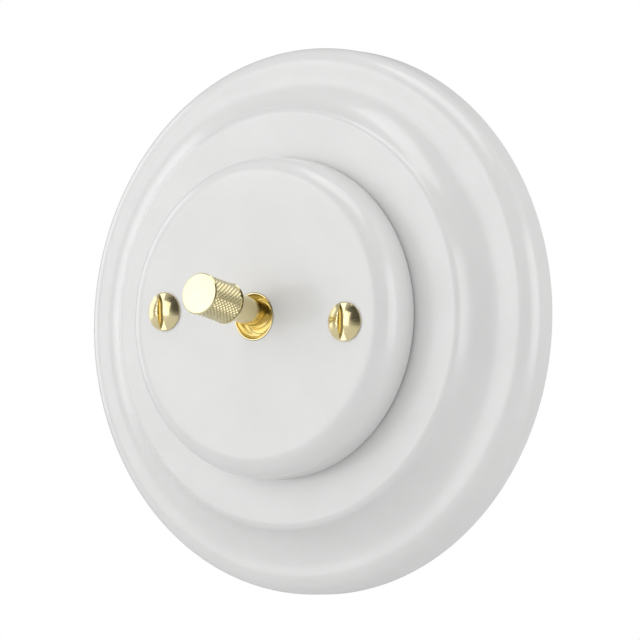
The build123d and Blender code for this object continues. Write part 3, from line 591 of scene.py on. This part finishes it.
def knurled_brass():
    """Polished brass with painted shade that darkens it towards the bottom of the knurl's cuts, but not on
    the knob's ends.
    """
    material = finish("knurled_brass", ((0.86, 0.79, 0.50), (0.82, 0.74, 0.44)), 160,
                      (0.10, 0.18), 500, (500, 5000, 0.3, 0.004), metallic=1.0)
    tree = material.node_tree
    shader = tree.nodes["Principled BSDF"]
    tone = shader.inputs["Base Color"].links[0].from_socket
    spot = node(tree, "ShaderNodeTexCoord").outputs["Object"]
    along = node(tree, "ShaderNodeMapping", {
        "Vector": spot, "Location": PIVOT, "Rotation": (radians(-LEVER_TILT), 0, 0)}, vector_type="TEXTURE")
    flat = node(tree, "ShaderNodeVectorMath", {0: along.outputs["Vector"], 1: (1, 0, 1)},
                operation="MULTIPLY")
    radius = node(tree, "ShaderNodeVectorMath", {0: flat.outputs["Vector"]}, operation="LENGTH")
    depth = node(tree, "ShaderNodeMapRange", {
        "Value": radius.outputs["Value"], "From Min": (KNOB_RADIUS - KNURL_DEPTH) * MM,
        "From Max": (KNOB_RADIUS - KNURL_DEPTH / 4) * MM, "To Min": 0.0, "To Max": 1.0})
    ends = node(tree, "ShaderNodeMapRange", {
        "Value": radius.outputs["Value"], "From Min": (KNOB_RADIUS - KNURL_DEPTH * 1.2) * MM,
        "From Max": (KNOB_RADIUS - KNURL_DEPTH * 1.1) * MM, "To Min": 1.0, "To Max": 0.0})
    # painted shade: the tone gives way to the dark colour towards the bottom of the knurl's cuts
    unshaded = node(tree, "ShaderNodeMath", {0: depth.outputs["Result"], 1: ends.outputs["Result"]},
                 operation="MAXIMUM")
    mix = node(tree, "ShaderNodeMix", {
        0: unshaded.outputs["Value"], 6: KNURL_PAINTED_SHADE, 7: tone}, data_type="RGBA")
    tree.links.new(mix.outputs[2], shader.inputs["Base Color"])
    return material


FINISHES = {
    "knurled_brass": knurled_brass(),
    "glazed_porcelain": finish("glazed_porcelain", ((0.775, 0.775, 0.77), (0.755, 0.756, 0.75)), 90,
                               (0.3, 0.42), 30, (260, 2400, 0.25, 0.006), coat=1.0),
    "polished_brass": finish("polished_brass", ((0.85, 0.745, 0.45), (0.81, 0.70, 0.39)), 160,
                             (0.1, 0.18), 500, (500, 5000, 0.3, 0.004), metallic=1.0),
    "terminal_brass": finish("terminal_brass", ((0.72, 0.55, 0.26), (0.60, 0.43, 0.18)), 260,
                             (0.28, 0.42), 400, (700, 6000, 0.6, 0.01), metallic=1.0),
    "zinc_steel": finish("zinc_steel", ((0.62, 0.64, 0.66), (0.52, 0.55, 0.60)), 140,
                         (0.25, 0.45), 260, (500, 5000, 0.6, 0.012), metallic=1.0),
    "spring_steel": finish("spring_steel", ((0.46, 0.47, 0.49), (0.38, 0.39, 0.42)), 300,
                           (0.2, 0.35), 500, (600, 6000, 0.5, 0.005), metallic=1.0),
    "steatite": finish("steatite", ((0.80, 0.77, 0.69), (0.74, 0.70, 0.61)), 180,
                       (0.6, 0.78), 60, (500, 4200, 0.7, 0.03)),
    "moulded_phenolic": finish("moulded_phenolic", ((0.055, 0.035, 0.025), (0.09, 0.05, 0.03)), 260,
                               (0.35, 0.5), 200, (500, 3000, 0.4, 0.01)),
    "vulcanised_fibre": finish("vulcanised_fibre", ((0.36, 0.09, 0.06), (0.28, 0.06, 0.04)), 700,
                               (0.6, 0.8), 100, (800, 5000, 0.7, 0.03)),
}


# ---- Studio ----
PATCH_EDGE = 1.35        # how far a dim patch fades in and out
DIM_PATCHES = ((42, 40, 44, 0.85), (60, -45, 45, 0.25))
PANEL_DISTANCE = 1.5     # metres, as the next two are
FLOOR_RADIUS = 1.6
FLOOR_DROP = 0.32
FLOOR_STEPS = 96


def direction(azimuth, elevation):
    """A unit vector towards the room: azimuth 0 is straight out of the wall and 90 is to the right."""
    a, e = radians(azimuth), radians(elevation)
    return Vector((sin(a) * cos(e), -cos(a) * cos(e), sin(e)))


def camera():
    """A long lens that looks at the switch from its right, rolled a little."""
    data = bpy.data.cameras.new("camera")
    data.lens = CAMERA_LENS
    data.clip_start, data.clip_end = CAMERA_CLIP
    made = bpy.data.objects.new("camera", data)
    bpy.context.scene.collection.objects.link(made)
    back = direction(CAMERA_AZIMUTH, CAMERA_ELEVATION)
    level = direction(CAMERA_AZIMUTH + 90, 0)
    upright = back.cross(level)
    roll = radians(CAMERA_ROLL)
    right = level * cos(roll) + upright * sin(roll)
    up = upright * cos(roll) - level * sin(roll)
    spot = back * CAMERA_DISTANCE + right * CAMERA_RIGHT + up * CAMERA_UP
    turned = Matrix((right, up, back)).transposed().to_4x4()
    made.matrix_world = Matrix.Translation(spot * MM) @ turned
    bpy.context.scene.camera = made


def panel(name, azimuth, elevation, size, radiance):
    """A soft light panel that faces the object and shows in its reflections with that radiance."""
    data = bpy.data.lights.new(name, "AREA")
    data.shape = "RECTANGLE"
    data.size, data.size_y = size
    data.energy = radiance * pi * size[0] * size[1]
    made = bpy.data.objects.new(name, data)
    bpy.context.scene.collection.objects.link(made)
    made.location = direction(azimuth, elevation) * PANEL_DISTANCE
    made.rotation_euler = (-made.location).to_track_quat("-Z", "Y").to_euler()


def world(level, slope, patches):
    """White surroundings: light level by direction, behind a plain white backdrop. Reflections also
    show dim patches: (azimuth, elevation, radius in degrees, how much it dims)."""
    made = bpy.data.worlds.new("studio")
    bpy.context.scene.world = made
    made.use_nodes = True
    tree = made.node_tree
    tree.nodes.clear()
    way = node(tree, "ShaderNodeTexCoord").outputs["Generated"]
    tilt = node(tree, "ShaderNodeVectorMath", {0: way, 1: slope}, operation="DOT_PRODUCT")
    light = node(tree, "ShaderNodeMath", {0: tilt.outputs["Value"], 1: level}, operation="ADD")
    dimmed = light.outputs["Value"]
    for azimuth, elevation, radius, dimming in patches:
        near = node(tree, "ShaderNodeVectorMath", {0: way, 1: direction(azimuth, elevation)},
                    operation="DOT_PRODUCT")
        patch = node(tree, "ShaderNodeMapRange", {
            "Value": near.outputs["Value"], "From Min": cos(radians(radius * PATCH_EDGE)),
            "From Max": cos(radians(radius / PATCH_EDGE)), "To Min": 1.0, "To Max": 1.0 - dimming},
            interpolation_type="SMOOTHSTEP")
        dimmed = node(tree, "ShaderNodeMath", {0: dimmed, 1: patch.outputs["Result"]},
                      operation="MULTIPLY").outputs["Value"]
    path = node(tree, "ShaderNodeLightPath")
    level_seen = node(tree, "ShaderNodeMix", {
        0: path.outputs["Is Glossy Ray"], 2: light.outputs["Value"], 3: dimmed})
    lit = node(tree, "ShaderNodeBackground", {"Color": (1, 1, 1, 1), "Strength": level_seen.outputs[0]})
    seen = node(tree, "ShaderNodeBackground", {"Color": (1, 1, 1, 1), "Strength": 1.0})
    mix = node(tree, "ShaderNodeMixShader", {
        0: path.outputs["Is Camera Ray"], 1: lit.outputs[0], 2: seen.outputs[0]})
    node(tree, "ShaderNodeOutputWorld", {"Surface": mix.outputs[0]})


def floor():
    """A plain pale floor well below the switch."""
    bm = bmesh.new()
    bmesh.ops.create_circle(bm, cap_ends=True, segments=FLOOR_STEPS, radius=FLOOR_RADIUS,
                            matrix=Matrix.Translation((0, 0, -FLOOR_DROP)))
    material = finish("floor_paint", ((0.80, 0.80, 0.80), (0.78, 0.78, 0.78)), 6,
                      (0.6, 0.7), 20, (20, 200, 0.5, 0.01))
    mesh = mesh_of(bm, "floor")
    mesh.materials.append(material)
    made = bpy.data.objects.new("floor", mesh)
    bpy.context.scene.collection.objects.link(made)


# ---- Making ----
camera()
piece("porcelain_ring", turn(frame_outline(), PORCELAIN_STEPS), FINISHES["glazed_porcelain"], "root",
      ["porcelain_frame"])
piece("porcelain_cap", cover_mesh(), FINISHES["glazed_porcelain"], "root",
      ["porcelain_cover"])
piece("dome_screws", cover_screw_pair(), FINISHES["polished_brass"], "root",
      ["cover_screws"])
piece("polished_bush", turn(bush_outline(), BRASS_STEPS), FINISHES["polished_brass"], "root",
      ["toggle_bush"])
piece("ball_lever", on_lever(turn(lever_outline(), BRASS_STEPS)), FINISHES["polished_brass"], "lever",
      ["lever_shaft"])
piece("knurled_knob", on_lever(knob_mesh()), FINISHES["knurled_brass"], "lever",
      ["knob"])
for row in frame["record"]["subparts"]:
    shown = frame["nodes"][row["node"]]
    if not shown.hide_render:
        shown.data.materials.clear()
        shown.data.materials.append(FINISHES[row["material_slot"]])

floor()
world(0.53, (0.03, 0.0, 0.0), DIM_PATCHES)
panel("front_left", -27, 5, (1.6, 1.8), 1.25)
panel("right", 98, 3, (1.3, 1.8), 1.35)
panel("top", 20, 78, (1.2, 0.8), 1.75)
panel("left", -88, 5, (0.8, 1.2), 0.9)
bpy.context.scene.view_settings.view_transform = "Standard"
